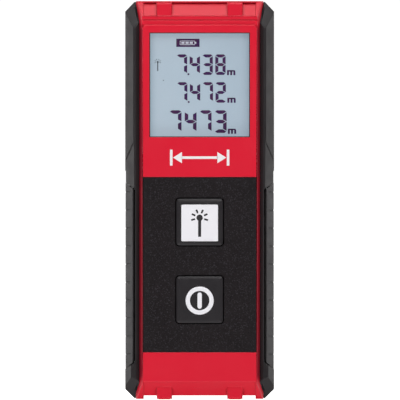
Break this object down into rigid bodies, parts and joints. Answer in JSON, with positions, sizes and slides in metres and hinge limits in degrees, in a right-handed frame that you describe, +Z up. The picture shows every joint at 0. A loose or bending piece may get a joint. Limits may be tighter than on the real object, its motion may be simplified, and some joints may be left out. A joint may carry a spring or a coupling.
{
  "type": "laser distance meter",
  "caption": "Pocket laser distance meter with a square display, two square keys, rubber side bumpers with grip pieces, end-wall optics and a hinged battery door.",
  "frame": {"origin": "middle of the base, on the plane that the feet stand on", "axes": "+Z up the body towards the optics end, +Y from the face to the back, +X to the right when looking at the face"},
  "size_m": [0.043, 0.026, 0.115],
  "materials": {
    "red_plastic": "smooth moulded red plastic with a soft satin gloss",
    "bumper_rubber": "dark grey overmoulded rubber, fine matt grain",
    "grip_rubber": "slightly lighter grey ribbed rubber",
    "keypad_black": "black inlay with a fine sparkling grain",
    "key_black": "near-black satin key plastic",
    "print_white": "white printed or inlaid plastic",
    "print_dark": "dark printed symbol",
    "window_clear": "clear polished acrylic window",
    "lcd_glass": "pale blue-grey lit liquid-crystal panel",
    "backlight": "milky light guide",
    "black_plastic": "black moulded plastic",
    "black_foam": "dark closed-cell foam tape",
    "elastomer": "striped pink elastomer connector",
    "silicone": "soft grey silicone",
    "board": "green lacquered glass-epoxy",
    "chip": "black epoxy packages",
    "passives": "brown ceramic chip parts",
    "steel": "nickel-plated steel",
    "screw_steel": "blackened screw steel",
    "brass": "turned brass",
    "lens_glass": "coated optical glass",
    "cell_wrap": "plain dark blue shrink sleeve with a bare steel end",
    "label_film": "blank silver-grey film"
  },
  "bodies": {
    "root": {"front_cover": "red_plastic", "back_cover": "red_plastic", "case_seal": "silicone", "left_bumper": "bumper_rubber", "right_bumper": "bumper_rubber", "left_grip": "grip_rubber", "right_grip": "grip_rubber", "keypad_panel": "keypad_black", "display_window": "window_clear", "display_gasket": "black_foam", "lcd_panel": "lcd_glass", "lcd_backlight": "backlight", "lcd_frame": "black_plastic", "lcd_connector": "elastomer", "main_board": "board", "board_chips": "chip", "board_passives": "passives", "shield_can": "steel", "board_screws": "steel", "beeper": "brass", "keypad_mat": "silicone", "switch_domes": "steel", "optics_carrier": "black_plastic", "receiver_lens": "lens_glass", "receiver_sensor": "steel", "sensor_board": "board", "laser_barrel": "brass", "laser_diode": "steel", "collimator_lens": "lens_glass", "optics_bezel": "black_plastic", "laser_window": "lens_glass", "battery_cell_left": "cell_wrap", "battery_cell_right": "cell_wrap", "battery_spring_left": "steel", "battery_spring_right": "steel", "contact_bridge": "steel", "positive_terminal": "steel", "negative_terminal": "steel", "case_screws": "screw_steel", "rating_label": "label_film"},
    "measure_key": {"measure_key": "key_black", "measure_key_plate": "print_white", "measure_icon": "print_dark"},
    "power_key": {"power_key": "key_black", "power_icon": "print_white"},
    "battery_door": {"battery_door": "black_plastic", "door_foam": "black_foam"}
  },
  "joints": [
    {"name": "measure_key_press", "type": "slide", "parent": "root", "child": "measure_key", "axis": [0, 1, 0], "range_m": [0, 0.0005], "stiffness_N_per_m": 600, "springref_m": -0.0006, "deforming": ["keypad_mat"]},
    {"name": "power_key_press", "type": "slide", "parent": "root", "child": "power_key", "axis": [0, 1, 0], "range_m": [0, 0.0005], "stiffness_N_per_m": 600, "springref_m": -0.0006, "deforming": ["switch_domes"]},
    {"name": "battery_door_hinge", "type": "hinge", "parent": "root", "child": "battery_door", "pos_m": [0, 0.0118, 0.0616], "axis": [1, 0, 0], "range_deg": [0, 90]}
  ]
}
